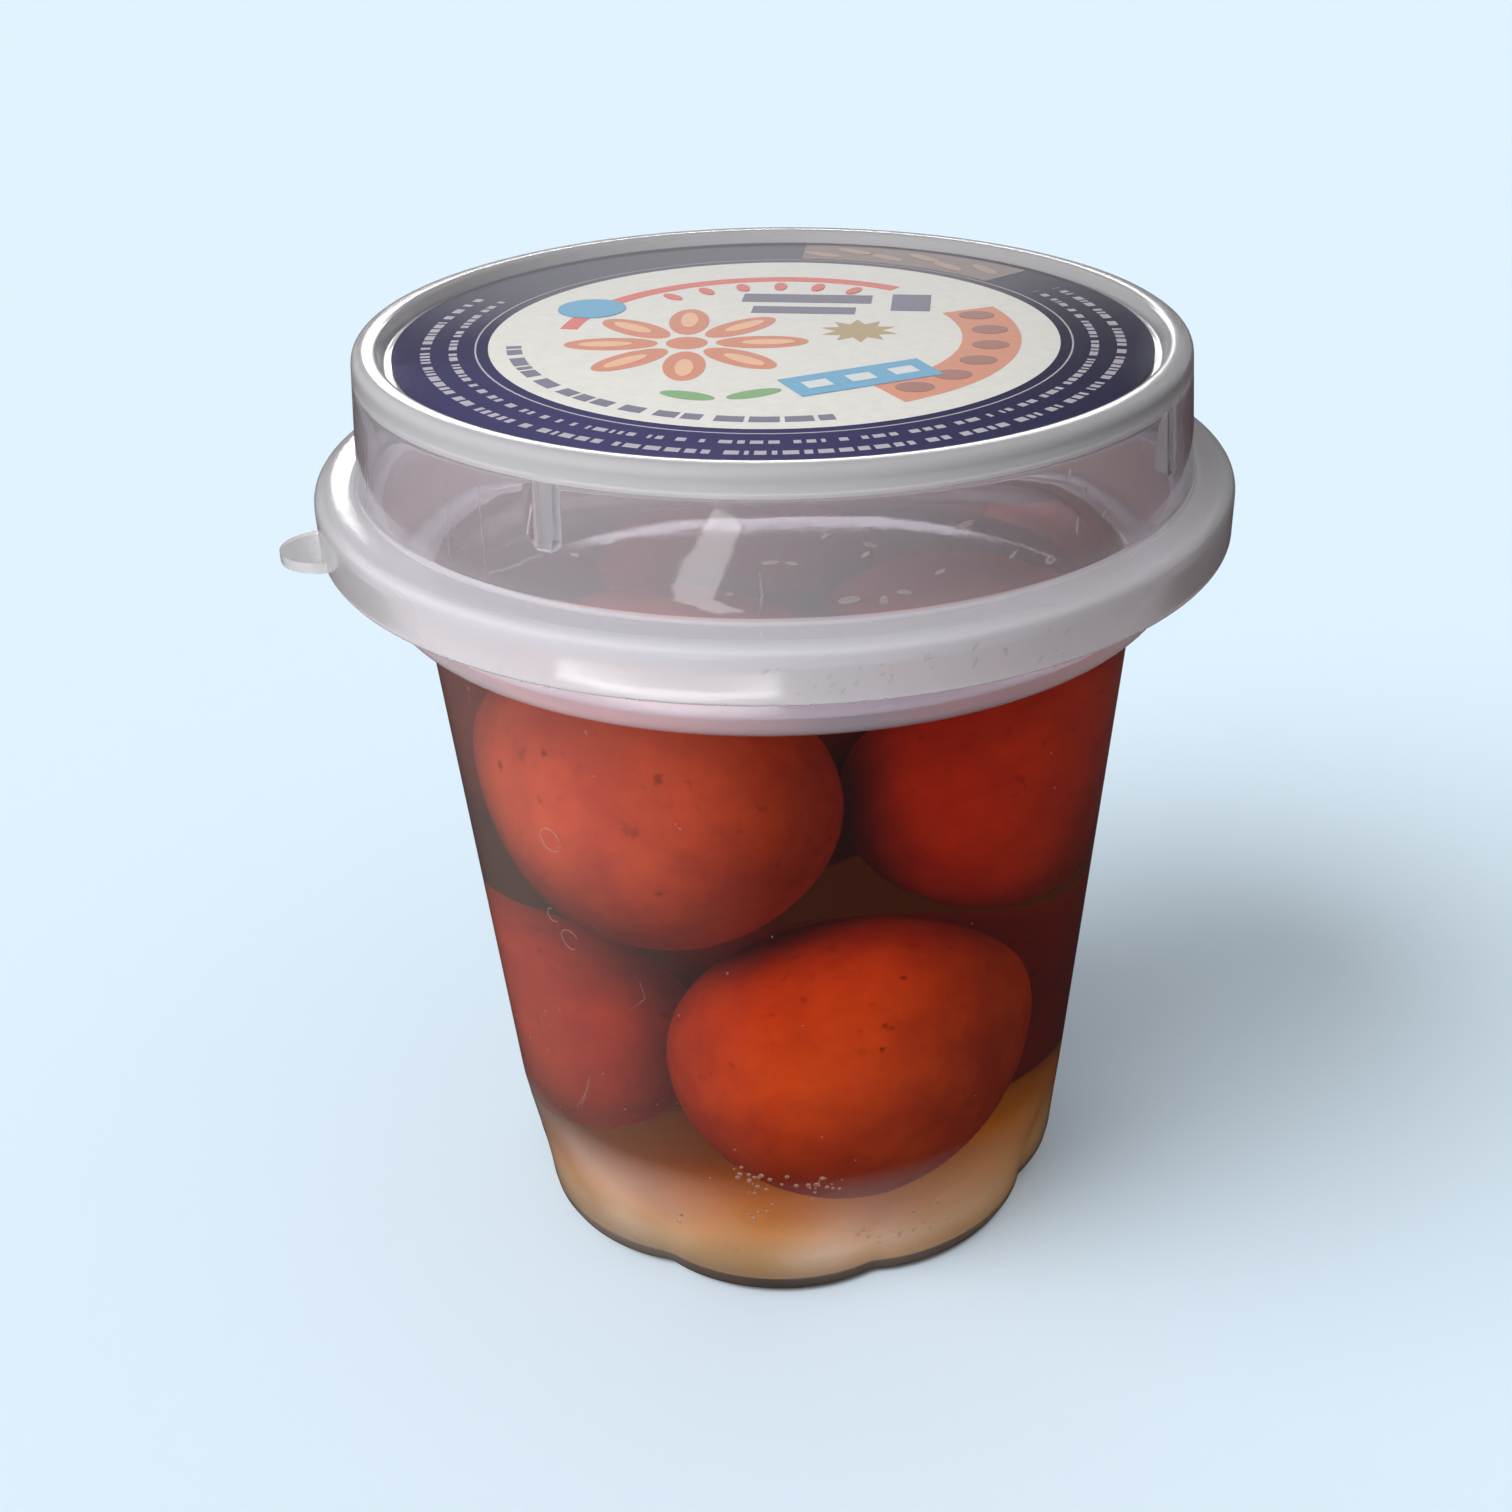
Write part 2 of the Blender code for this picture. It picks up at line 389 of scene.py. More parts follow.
def wetted_wall_material():
    """The cup's inner face where syrup wets it: nothing mirrors or bends light there."""
    n = Nodes("wetted_wall")
    clear = n.add("BsdfTransparent")
    return n.show(clear.outputs[0])


def frosted_base_material():
    """The cup's matt floor, seen through the syrup: pale inside, browner towards the foot's edge."""
    n = Nodes("frosted_base")
    pale = n.mix_colour(n.noise(70.0, 2.0), (0.52, 0.47, 0.32), (0.78, 0.71, 0.52))
    brown = n.mix_colour(n.noise(110.0, 2.0), (0.18, 0.14, 0.12), (0.32, 0.26, 0.23))
    edge = n.remap(n.distance((0.0, 0.0, 0.0)), BASE_EDGE[0], BASE_EDGE[1], 0.0, 1.0)
    body = n.principled(Base_Color=n.mix_colour(edge, pale, brown), Roughness=0.6, IOR=1.1)
    return n.show(body.outputs[0])


def lid_material(name, clear, colour, rough):
    """Milky clear polypropylene with a satin face."""
    n = Nodes(name)
    normal = n.bump(n.noise(300.0, 3.0), 0.03, 0.0004)
    body = n.principled(
        Base_Color=colour, Roughness=rough, IOR=1.45, Transmission_Weight=clear, Normal=normal,
    )
    return n.show(n.let_lamps_through(body.outputs[0], (0.78, 0.78, 0.79)))


def syrup_material():
    """Amber syrup: absorbing inside, mirror-smooth on top, unseen where it meets the wall."""
    n = Nodes("syrup")
    surface = n.principled(
        Base_Color=(1.0, 1.0, 1.0), Roughness=0.02, IOR=1.42, Transmission_Weight=1.0,
    )
    top = n.let_lamps_through(surface.outputs[0], (0.95, 0.95, 0.95))
    clear = n.add("BsdfTransparent")
    facing = n.add("NewGeometry")
    split = n.add("SeparateXYZ")
    n.join(facing.outputs["Position"], split.inputs[0])
    is_top = n.math("GREATER_THAN", split.outputs["Z"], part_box("syrup")[1][2] - 0.0004)
    mix = n.add("MixShader")
    n.join(is_top, mix.inputs[0])
    n.join(clear.outputs[0], mix.inputs[1])
    n.join(top, mix.inputs[2])
    inside = n.add("VolumeAbsorption")
    inside.inputs["Color"].default_value = (0.935, 0.76, 0.12, 1.0)
    inside.inputs["Density"].default_value = 100.0
    n.join(inside.outputs[0], n.output.inputs["Volume"])
    return n.show(mix.outputs[0])


def jamun_material(name, warm, seed, specks=()):
    """Soaked fried dough: orange-red, mottled, with a few dark specks."""
    n = Nodes("soaked_" + name)
    blotch = n.remap(n.noise(75.0 + seed, 4.0, 0.6), 0.35, 0.65, 0.0, 1.0)
    deep = (0.66 * warm[0], 0.50 * warm[1], 0.6 * warm[2])
    base = n.mix_colour(blotch, warm, deep)
    grain = n.remap(n.noise(650.0 + seed, 2.0, 0.5), 0.66, 0.74, 0.0, 0.35)
    for x, y, z, size in specks:
        reach = n.math("ADD", n.distance((x, y, z)), n.remap(n.noise(1400.0, 2.0), 0.3, 0.7, -0.0006, 0.0006))
        spot = n.remap(reach, 0.0, size, 0.7, 0.0)
        grain = n.math("MAXIMUM", grain, spot)
    colour = n.mix_colour(grain, base, (0.22 * warm[0], 0.10 * warm[1], 0.3 * warm[2]))
    normal = n.bump(n.noise(380.0, 4.0, 0.6), 0.22, 0.0005)
    body = n.principled(
        Base_Color=colour, Roughness=0.7, IOR=1.06, Subsurface_Weight=0.25,
        Subsurface_Radius=(1.0, 0.25, 0.1), Subsurface_Scale=0.003, Normal=normal,
    )
    return n.show(body.outputs[0])


def print_material(name, colour):
    """Ink on label film, with a faint mottle."""
    n = Nodes(name)
    tone = n.noise(900.0, 3.0)
    low = tuple(0.82 * c for c in colour)
    body = n.principled(
        Base_Color=n.mix_colour(tone, low, colour), Roughness=0.45, IOR=1.45,
    )
    return n.show(body.outputs[0])


def scuff_material():
    """Milky scratches, dents and dried drops on the plastic, and a milky line that serves as a painted highlight
    on the drum.
    """
    n = Nodes("scuffs")
    body = n.principled(
        Base_Color=(0.86, 0.80, 0.78), Roughness=0.3, IOR=1.1, Transmission_Weight=0.90,
    )
    return n.show(n.let_lamps_through(body.outputs[0], (0.8, 0.8, 0.8)))


def dew_material():
    """Clear drops on the inside of the lid."""
    n = Nodes("dew")
    body = n.principled(
        Base_Color=(0.92, 0.88, 0.84), Roughness=0.05, IOR=1.30, Transmission_Weight=0.93,
    )
    return n.show(n.let_lamps_through(body.outputs[0], (0.8, 0.8, 0.8)))


# ---------------------------------------------------------------- pieces

def side_radius(height):
    return BASE_RADIUS + WALL_SLOPE * (height - BASE_FILLET)


def foot_corner(inset):
    """The foot's sharp corner before its fillet, moved in from the outside by inset."""
    return (side_radius(inset) - inset, inset, BASE_FILLET - inset / 2)


def make_cup():
    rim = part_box("cup")[1][2]
    ledge_side = side_radius(LEDGE_HEIGHT)
    wet_top = LEDGE_HEIGHT + CUP_WALL
    outside = fillet([
        (0.0, 0.0, 0.0),
        foot_corner(0.0),
        (ledge_side, LEDGE_HEIGHT - 0.1 * MM, 0.8 * MM),
        (LEDGE_RADIUS, LEDGE_HEIGHT + 0.1 * MM, 1.2 * MM),
        (LEDGE_RADIUS, rim - 1.9 * MM, 0.4 * MM),
        (CUP_RIM_RADIUS, rim - 1.7 * MM, 0.4 * MM),
        (CUP_RIM_RADIUS, rim, 0.5 * MM),
        (LEDGE_RADIUS - CUP_WALL, rim, 0.4 * MM),
        (LEDGE_RADIUS - CUP_WALL, wet_top + 0.2 * MM, 0.9 * MM),
        (ledge_side - CUP_WALL, wet_top, 0.0),
    ])
    inside = fillet([
        (ledge_side - CUP_WALL, wet_top, 0.0),
        foot_corner(CUP_WALL),
        (0.0, CUP_WALL, 0.0),
    ])
    outside = subdivided(outside, 2.0 * MM)
    inside = subdivided(inside, 2.0 * MM)
    wet_from = len(outside) - 1
    collar_from = next(i for i, (r, z) in enumerate(outside) if z > LEDGE_HEIGHT - 0.2 * MM)
    base_from = next(
        i for i, (r, z) in enumerate(inside) if z < CUP_WALL + 0.01 * MM
    ) + wet_from

    def pick(index):
        if index >= base_from:
            return 2
        if index >= wet_from:
            return 1
        if max(outside[index][1], outside[index + 1][1]) < 1.1 * MM:
            return 2
        return 3 if index >= collar_from else 0

    mesh = turned_mesh("cup_shell", outside + inside[1:], lobed=True, pick=pick)
    materials = [clear_cup_material(), wetted_wall_material(), frosted_base_material(),
                 hazy_collar_material()]
    add_piece("cup_shell", mesh, materials, replaces=("cup",))


def make_syrup():
    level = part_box("syrup")[1][2]
    inset = CUP_WALL - 0.4 * MM
    outline = fillet([
        (0.0, inset, 0.0),
        foot_corner(inset),
        (side_radius(level) - inset, level + 0.5 * MM, 0.0),
        (side_radius(level) - inset - 2.0 * MM, level, 1.5 * MM),
        (0.0, level, 0.0),
    ])
    mesh = turned_mesh("syrup_fill", subdivided(outline, 2.0 * MM), lobed=True)
    add_piece("syrup_fill", mesh, [syrup_material()], replaces=("syrup",))


def make_jamun(name, warm, seed, specks):
    low, high = (Vector(corner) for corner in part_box(name))
    centre = (low + high) / 2
    half = (high - low) / 2
    bm = bmesh.new()
    bmesh.ops.create_icosphere(bm, subdivisions=6, radius=1.0)
    for corner in bm.verts:
        way = corner.co.normalized()
        lump = noise.noise(way * 1.6 + Vector((seed, 0.0, 0.0)))
        ripple = noise.noise(way * 7.0 + Vector((0.0, seed, 0.0)))
        reach = 1.0 + 0.008 * lump + 0.003 * ripple
        corner.co = centre + Vector(tuple(w * h * reach for w, h in zip(way, half)))
    for face in bm.faces:
        face.smooth = True
    mesh = bpy.data.meshes.new(name + "_skin")
    bm.to_mesh(mesh)
    bm.free()
    spots = []
    for way, size in specks:
        place = centre + Vector(tuple(w * h for w, h in zip(way, half)))
        spots.append((*place, size))
    skin = jamun_material(name, warm, seed, spots)
    add_piece(name + "_skin", mesh, [skin], replaces=(name,))


def make_jamuns():
    tones = {
        "jamun_front_lower": (0.56, 0.068, 0.009),
        "jamun_left_upper": (0.56, 0.075, 0.026),
        "jamun_left_lower": (0.60, 0.072, 0.024),
        "jamun_right_upper": (0.46, 0.038, 0.012),
        "jamun_right_lower": (0.26, 0.020, 0.008),
        "jamun_back_upper": (0.28, 0.022, 0.010),
    }
    specks = {
        "jamun_front_lower": (((0.21, -0.81, 0.54), 0.75 * MM), ((0.19, -0.89, 0.42), 0.45 * MM),
                              ((0.28, -0.54, 0.80), 0.5 * MM)),
        "jamun_left_upper": (((-0.77, -0.47, 0.43), 0.9 * MM), ((-0.17, -0.97, 0.15), 1.1 * MM),
                             ((0.03, -0.88, 0.47), 0.7 * MM), ((-0.02, -0.95, -0.30), 0.7 * MM),
                             ((-0.92, -0.30, 0.25), 0.7 * MM), ((-0.62, -0.61, 0.49), 0.6 * MM)),
    }
    for seed, (name, warm) in enumerate(tones.items(), start=1):
        make_jamun(name, warm, seed, specks.get(name, ()))


def make_lid():
    skirt_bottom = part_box("lid")[0][2]
    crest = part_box("lid")[1][2]
    sheet = LID_SHEET
    outline = fillet([
        (0.0, PLATE_HEIGHT, 0.0),
        (PLATE_RADIUS, PLATE_HEIGHT, 0.3 * MM),
        (PLATE_RADIUS + 0.5 * MM, crest, 0.7 * MM),
        (DRUM_TOP_RADIUS - 0.1 * MM, crest, 1.6 * MM),
        (DRUM_FOOT_RADIUS, SHOULDER_HEIGHT, 0.8 * MM),
        (SKIRT_RADIUS, SHOULDER_HEIGHT, 1.4 * MM),
        (SKIRT_RADIUS, skirt_bottom, 0.35 * MM),
        (SKIRT_RADIUS - sheet, skirt_bottom, 0.35 * MM),
        (SKIRT_RADIUS - sheet, SHOULDER_HEIGHT - sheet, 0.6 * MM),
        (DRUM_FOOT_RADIUS - sheet, SHOULDER_HEIGHT - sheet, 0.9 * MM),
        (DRUM_TOP_RADIUS - sheet, PLATE_HEIGHT - sheet, 0.9 * MM),
        (0.0, PLATE_HEIGHT - sheet, 0.0),
    ], steps=6)
    outline = subdivided(outline, 1.5 * MM)

    def pick(index):
        (r1, z1), (r2, z2) = outline[index], outline[index + 1]
        height = (z1 + z2) / 2
        if height > PLATE_HEIGHT - 1.0 * MM:
            return 2
        in_drum = PLATE_RADIUS < min(r1, r2) and max(r1, r2) < DRUM_FOOT_RADIUS + 0.05 * MM
        return 1 if in_drum and height > SHOULDER_HEIGHT - sheet else 0

    mesh = turned_mesh("lid_shell", outline, pick=pick)
    materials = [
        lid_material("frosted_lid", 0.70, (0.76, 0.76, 0.78), 0.12),
        lid_material("drum_wall", 0.865, (0.79, 0.77, 0.82), 0.04),
        lid_material("frosted_crest", 0.60, (0.66, 0.66, 0.68), 0.18),
    ]
    lid = add_piece("lid_shell", mesh, materials, replaces=("lid",))
    helpers = [tab_solid(SKIRT_RADIUS - sheet / 2, skirt_bottom + 0.2 * MM)]
    rib_bottom = PLATE_HEIGHT - sheet / 2 - RIB_SIZE[2]
    for number, angle in enumerate(RIB_ANGLES, start=1):
        helpers.append(rib_solid(number, DRUM_TOP_RADIUS - sheet / 4, angle, rib_bottom))
    join_solids(lid, helpers)


def loose_object(name, bm):
    mesh = bpy.data.meshes.new(name)
    bm.to_mesh(mesh)
    bm.free()
    item = bpy.data.objects.new(name, mesh)
    bpy.context.scene.collection.objects.link(item)
    return item


def rib_solid(number, radius, angle, bottom):
    """A small upright block on the inside of the drum."""
    bm = bmesh.new()
    bmesh.ops.create_cube(bm, size=1.0)
    bmesh.ops.scale(bm, vec=RIB_SIZE, verts=bm.verts)
    move = (radius - RIB_SIZE[0] / 2, 0.0, bottom + RIB_SIZE[2] / 2)
    bmesh.ops.translate(bm, vec=move, verts=bm.verts)
    bmesh.ops.bevel(bm, geom=bm.edges, offset=0.25 * MM, segments=2, affect="EDGES")
    bmesh.ops.rotate(bm, matrix=Matrix.Rotation(math.radians(angle), 3, "Z"), verts=bm.verts)
    return loose_object(f"rib_solid_{number}", bm)


def tab_solid(root_radius, bottom):
    """The thin round-ended tongue on the skirt."""
    half = TAB_WIDTH / 2
    rim = []
    for step in range(25):
        angle = math.radians(-90.0 + 180.0 * step / 24)
        rim.append((TAB_REACH - half + half * math.cos(angle), half * math.sin(angle)))
    rim += [(root_radius, half), (root_radius, -half)]
    bm = bmesh.new()
    face = bm.faces.new([bm.verts.new((x, y, bottom)) for x, y in rim])
    lifted = bmesh.ops.extrude_face_region(bm, geom=[face])["geom"]
    top = [item for item in lifted if isinstance(item, bmesh.types.BMVert)]
    bmesh.ops.translate(bm, vec=(0.0, 0.0, TAB_THICKNESS), verts=top)
    bmesh.ops.recalc_face_normals(bm, faces=bm.faces)
    bmesh.ops.rotate(bm, matrix=Matrix.Rotation(math.radians(TAB_ANGLE), 3, "Z"), verts=bm.verts)
    return loose_object("tab_solid", bm)


def join_solids(target, helpers):
    """Melt helper solids into a piece and throw the helpers away."""
    for helper in helpers:
        joint = target.modifiers.new("join_" + helper.name, "BOOLEAN")
        joint.operation = "UNION"
        joint.solver = "EXACT"
        joint.object = helper
    bpy.context.view_layer.update()
    graph = bpy.context.evaluated_depsgraph_get()
    joined = bpy.data.meshes.new_from_object(target.evaluated_get(graph))
    target.modifiers.clear()
    target.data = joined
    for helper in helpers:
        bpy.data.objects.remove(helper)


def disc_mesh(name, outer, inner, bottom, top):
    """A flat ring, or a disc when inner is 0."""
    if inner:
        outline = [(inner, top), (outer, top), (outer, bottom), (inner, bottom), (inner, top)]
    else:
        outline = [(0.0, top), (outer, top), (outer, bottom), (0.0, bottom)]
    return turned_mesh(name, outline)


def prisms_mesh(name, loops, bottom, top):
    """Flat prisms, one for each closed loop of (x, y) corners."""
    bm = bmesh.new()
    for loop in loops:
        low = [bm.verts.new((x, y, bottom)) for x, y in loop]
        high = [bm.verts.new((x, y, top)) for x, y in loop]
        bm.faces.new(high)
        bm.faces.new(low[::-1])
        for i in range(len(loop)):
            j = (i + 1) % len(loop)
            bm.faces.new((low[i], low[j], high[j], high[i]))
    bmesh.ops.recalc_face_normals(bm, faces=bm.faces)
    mesh = bpy.data.meshes.new(name)
    bm.to_mesh(mesh)
    bm.free()
    return mesh


def arc_loop(inner, outer, start, end, centre=(0.0, 0.0)):
    """A band between two radii and two angles in degrees."""
    steps = max(2, int(abs(end - start) / 3))
    angles = [math.radians(start + (end - start) * i / steps) for i in range(steps + 1)]
    loop = [(centre[0] + outer * math.cos(a), centre[1] + outer * math.sin(a)) for a in angles]
    return loop + [(centre[0] + inner * math.cos(a), centre[1] + inner * math.sin(a)) for a in angles[::-1]]


def polar(radius, angle, centre=(0.0, 0.0)):
    a = math.radians(angle)
    return centre[0] + radius * math.cos(a), centre[1] + radius * math.sin(a)


def ellipse_loop(centre, half_long, half_short, turn=0.0, steps=28):
    turn = math.radians(turn)
    loop = []
    for i in range(steps):
        a = 2.0 * math.pi * i / steps
        x, y = half_long * math.cos(a), half_short * math.sin(a)
        loop.append((centre[0] + x * math.cos(turn) - y * math.sin(turn),
                     centre[1] + x * math.sin(turn) + y * math.cos(turn)))
    return loop


def bar_loop(centre, length, width, turn=0.0):
    turn = math.radians(turn)
    loop = []
    for x, y in ((-1, -1), (1, -1), (1, 1), (-1, 1)):
        x, y = x * length / 2, y * width / 2
        loop.append((centre[0] + x * math.cos(turn) - y * math.sin(turn),
                     centre[1] + x * math.sin(turn) + y * math.cos(turn)))
    return loop


def dash_row(chance, radius, width, start, end, shortest, longest):
    """Short dashes of varied length along an arc, with gaps between them."""
    loops = []
    angle = start
    while angle < end:
        length = chance.uniform(shortest, longest)
        stop = min(angle + math.degrees(length / radius), end)
        loops.append(arc_loop(radius - width / 2, radius + width / 2, angle, stop))
        angle = stop + math.degrees(chance.choice((0.45, 0.45, 1.2)) * MM / radius)
    return loops


def make_label():
    """A navy disc with a cream field and a generic rosette design in flat colours."""
    low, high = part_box("label")
    radius = high[0]
    field = radius * FIELD_SHARE
    top = high[2]
    chance = random.Random(5)
    paper = disc_mesh("label_paper", radius, 0.0, PLATE_HEIGHT + 0.02 * MM, top)
    add_piece("label_paper", paper, [print_material("navy_ink", (0.040, 0.038, 0.098))],
              replaces=("label",))

    rings = dash_row(chance, radius * 0.915, 0.95 * MM, -205.0, 28.0, 0.35 * MM, 1.5 * MM)
    rings += dash_row(chance, radius * 0.845, 0.80 * MM, -205.0, 28.0, 0.30 * MM, 1.3 * MM)
    rings += [arc_loop(radius * 0.785, radius * 0.790, a, a + 60.0) for a in range(0, 360, 60)]
    turns = [45.0 * i for i in range(8)]
    flower = (-9.0 * MM, -2.5 * MM)
    petals = [ellipse_loop(polar(7.6 * MM, turn, flower), 4.7 * MM, 2.1 * MM, turn) for turn in turns]
    petals.append(ellipse_loop(flower, 2.1 * MM, 2.1 * MM))
    hearts = [ellipse_loop(polar(8.2 * MM, turn, flower), 2.7 * MM, 0.9 * MM, turn) for turn in turns]
    sash = [arc_loop(19.0 * MM, 25.0 * MM, -62.0, 22.0)]
    sash_lights = [ellipse_loop(polar(22.0 * MM, -54.0 + 14.0 * i), 1.9 * MM, 1.5 * MM) for i in range(6)]
    flame = [arc_loop(20.6 * MM, 22.4 * MM, 52.0, 172.0)]
    drops = [ellipse_loop(polar(18.4 * MM, 62.0 + 13.0 * i), 1.5 * MM, 0.7 * MM, 62.0 + 13.0 * i)
             for i in range(6)]
    sky = [bar_loop((8.0 * MM, -14.5 * MM), 15.0 * MM, 5.6 * MM, 24.0),
           ellipse_loop((-19.5 * MM, 10.5 * MM), 3.6 * MM, 3.6 * MM)]
    sky_lights = [bar_loop((8.0 * MM + x * MM, -14.5 * MM + y * MM), 2.6 * MM, 2.0 * MM, 24.0)
                  for x, y in ((-4.2, -1.9), (0.0, 0.0), (4.2, 1.9))]
    bars = [bar_loop((3.5 * MM, 13.4 * MM), 14.0 * MM, 3.2 * MM, -6.0),
            bar_loop((3.0 * MM, 8.9 * MM), 11.0 * MM, 2.6 * MM, -6.0),
            bar_loop((14.6 * MM, 11.2 * MM), 4.2 * MM, 6.4 * MM, -6.0)]
    bars += dash_row(chance, 26.4 * MM, 1.5 * MM, 186.0, 282.0, 0.8 * MM, 3.0 * MM)
    leaves = [ellipse_loop((-2.2 * MM, -19.0 * MM), 2.8 * MM, 1.1 * MM, 25.0),
              ellipse_loop((-8.4 * MM, -19.2 * MM), 2.8 * MM, 1.1 * MM, -25.0)]
    star = [[polar((4.0 if i % 2 else 2.4) * MM, 18.0 * i, (8.5 * MM, 1.0 * MM)) for i in range(20)]]
    backs = [arc_loop(radius * 0.80, radius * 0.975, 40.0, 84.0)]
    back_bits = [ellipse_loop(polar(radius * r, a), 2.4 * MM, 0.8 * MM, a + 70.0)
                 for a, r in ((46, 0.90), (53, 0.86), (60, 0.91), (67, 0.87), (74, 0.91), (80, 0.86))]

    layers = (
        ("label_field", [arc_loop(0.0, field, 0.0, 120.0), arc_loop(0.0, field, 120.0, 240.0),
                         arc_loop(0.0, field, 240.0, 360.0)], 0, (0.66, 0.645, 0.60)),
        ("label_ring_print", rings, 0, (0.33, 0.30, 0.36)),
        ("label_back_band", backs, 0, (0.16, 0.10, 0.09)),
        ("label_back_bits", back_bits, 1, (0.32, 0.20, 0.15)),
        ("label_petals", petals, 1, (0.56, 0.14, 0.045)),
        ("label_petal_hearts", hearts, 2, (0.74, 0.38, 0.20)),
        ("label_sash", sash, 1, (0.60, 0.17, 0.06)),
        ("label_sash_lights", sash_lights, 2, (0.27, 0.055, 0.03)),
        ("label_flame", flame, 1, (0.62, 0.065, 0.040)),
        ("label_drops", drops, 3, (0.62, 0.065, 0.040)),
        ("label_sky", sky, 3, (0.030, 0.30, 0.52)),
        ("label_sky_lights", sky_lights, 4, (0.60, 0.64, 0.64)),
        ("label_bars", bars, 1, (0.075, 0.065, 0.14)),
        ("label_leaves", leaves, 1, (0.10, 0.30, 0.07)),
        ("label_star", star, 1, (0.36, 0.24, 0.07)),
    )
    for name, loops, layer, colour in layers:
        bottom = top + layer * INK_LAYER
        mesh = prisms_mesh(name, loops, bottom - INK_LAYER / 2, bottom + INK_LAYER)
        add_piece(name, mesh, [print_material(name + "_ink", colour)])


# ---------------------------------------------------------------- marks on the plastic

def wall_point(surface, angle, height, lift=0.0):
    """A point on a tapered wall, its outward normal and its sideways and upward directions."""
    (r1, z1), (r2, z2) = surface
    slope = (r2 - r1) / (z2 - z1)
    a = math.radians(angle)
    radius = r1 + slope * (height - z1)
    if surface is CUP_SIDE:
        radius -= lobe_shrink(a, height)
    out = Vector((math.cos(a), math.sin(a), -slope)).normalized()
    side = Vector((-math.sin(a), math.cos(a), 0.0))
    return Vector((radius * math.cos(a), radius * math.sin(a), height)) + out * lift, out, side


def add_blob(bm, surface, angle, height, size, turn=0.0, lift=0.0):
    """A flattened bead on a wall. size is half its length, half its width and half its depth."""
    place, out, side = wall_point(surface, angle, height, lift)
    rise = out.cross(side)
    t = math.radians(turn)
    along = side * math.cos(t) + rise * math.sin(t)
    across = out.cross(along)
    bead = bmesh.ops.create_icosphere(bm, subdivisions=2, radius=1.0)["verts"]
    for corner in bead:
        x, y, z = corner.co
        corner.co = place + along * (x * size[0]) + across * (y * size[1]) + out * (z * size[2])


def add_thread(bm, surface, points, radius):
    """A thin raised line through (angle, height) points on a wall."""
    sides = 5
    places = [wall_point(surface, angle, height)[:2] for angle, height in points]
    rings = []
    for index, (place, out) in enumerate(places):
        ahead = places[min(index + 1, len(places) - 1)][0] - places[max(index - 1, 0)][0]
        across = out.cross(ahead).normalized()
        taper = radius * (0.35 if index in (0, len(places) - 1) else 1.0)
        ring = []
        for step in range(sides):
            a = 2.0 * math.pi * step / sides
            ring.append(bm.verts.new(place + (out * math.cos(a) + across * math.sin(a)) * taper))
        rings.append(ring)
    for low, high in zip(rings, rings[1:]):
        for step in range(sides):
            after = (step + 1) % sides
            bm.faces.new((low[step], low[after], high[after], high[step]))
    bm.faces.new(rings[0][::-1])
    bm.faces.new(rings[-1])


def finish_marks(name, bm, material):
    for face in bm.faces:
        face.smooth = True
    bmesh.ops.recalc_face_normals(bm, faces=bm.faces)
    mesh = bpy.data.meshes.new(name)
    bm.to_mesh(mesh)
    bm.free()
    add_piece(name, mesh, [material])


def circle_points(angle, height, radius, surface_radius, start=0.0, end=360.0, steps=18):
    points = []
    for step in range(steps + 1):
        a = math.radians(start + (end - start) * step / steps)
        points.append((angle + math.degrees(radius * math.cos(a) / surface_radius), height + radius * math.sin(a)))
    return points


def make_cup_marks():
    """Dents, scratches and small bubbles on the cup's wall."""
    chance = random.Random(11)
    bm = bmesh.new()
    add_thread(bm, CUP_SIDE, circle_points(-130.0, 59.3 * MM, 1.35 * MM, 0.0368), 0.07 * MM)
    add_thread(bm, CUP_SIDE, circle_points(-129.2, 47.0 * MM, 1.2 * MM, 0.0358, 20.0, 300.0), 0.06 * MM)
    add_thread(bm, CUP_SIDE, circle_points(-132.5, 49.3 * MM, 0.8 * MM, 0.0358, 90.0, 330.0), 0.06 * MM)
    add_thread(bm, CUP_SIDE, [(-136.5, 21.0 * MM), (-134.0, 23.0 * MM), (-131.6, 25.6 * MM),
                              (-130.0, 28.3 * MM)], 0.10 * MM)
    add_thread(bm, CUP_SIDE, [(-134.6, 21.6 * MM), (-132.4, 24.4 * MM), (-130.9, 27.2 * MM)], 0.05 * MM)
    add_thread(bm, CUP_SIDE, [(-118.3, 40.3 * MM), (-115.0, 42.5 * MM), (-115.7, 44.6 * MM)], 0.05 * MM)
    for _ in range(30):
        angle = chance.uniform(-150.0, -40.0)
        height = chance.uniform(14.0, 74.0) * MM
        size = chance.uniform(0.05, 0.11) * MM
        add_blob(bm, CUP_SIDE, angle, height, (size * chance.uniform(1.0, 2.6), size, size * 0.5),
                 chance.uniform(0.0, 180.0))
    finish_marks("cup_scuffs", bm, scuff_material())

    bm = bmesh.new()
    clusters = ((-97.0, 19.5, 3.0, 18), (-86.0, 18.0, 2.6, 18), (-95.0, 15.0, 4.0, 8),
                (-74.8, 8.5, 3.0, 6), (-63.0, 7.5, 4.5, 12), (-110.0, 12.0, 6.0, 5))
    for angle, height, spread, count in clusters:
        for _ in range(count):
            a = angle + math.degrees(chance.gauss(0.0, spread * 0.5) * MM / 0.034)
            h = max(4.2, height + chance.gauss(0.0, spread * 0.35)) * MM
            size = chance.uniform(0.12, 0.34) * MM
            add_blob(bm, CUP_SIDE, a, h, (size, size, size * 0.45))
    finish_marks("cup_bubbles", bm, dew_material())


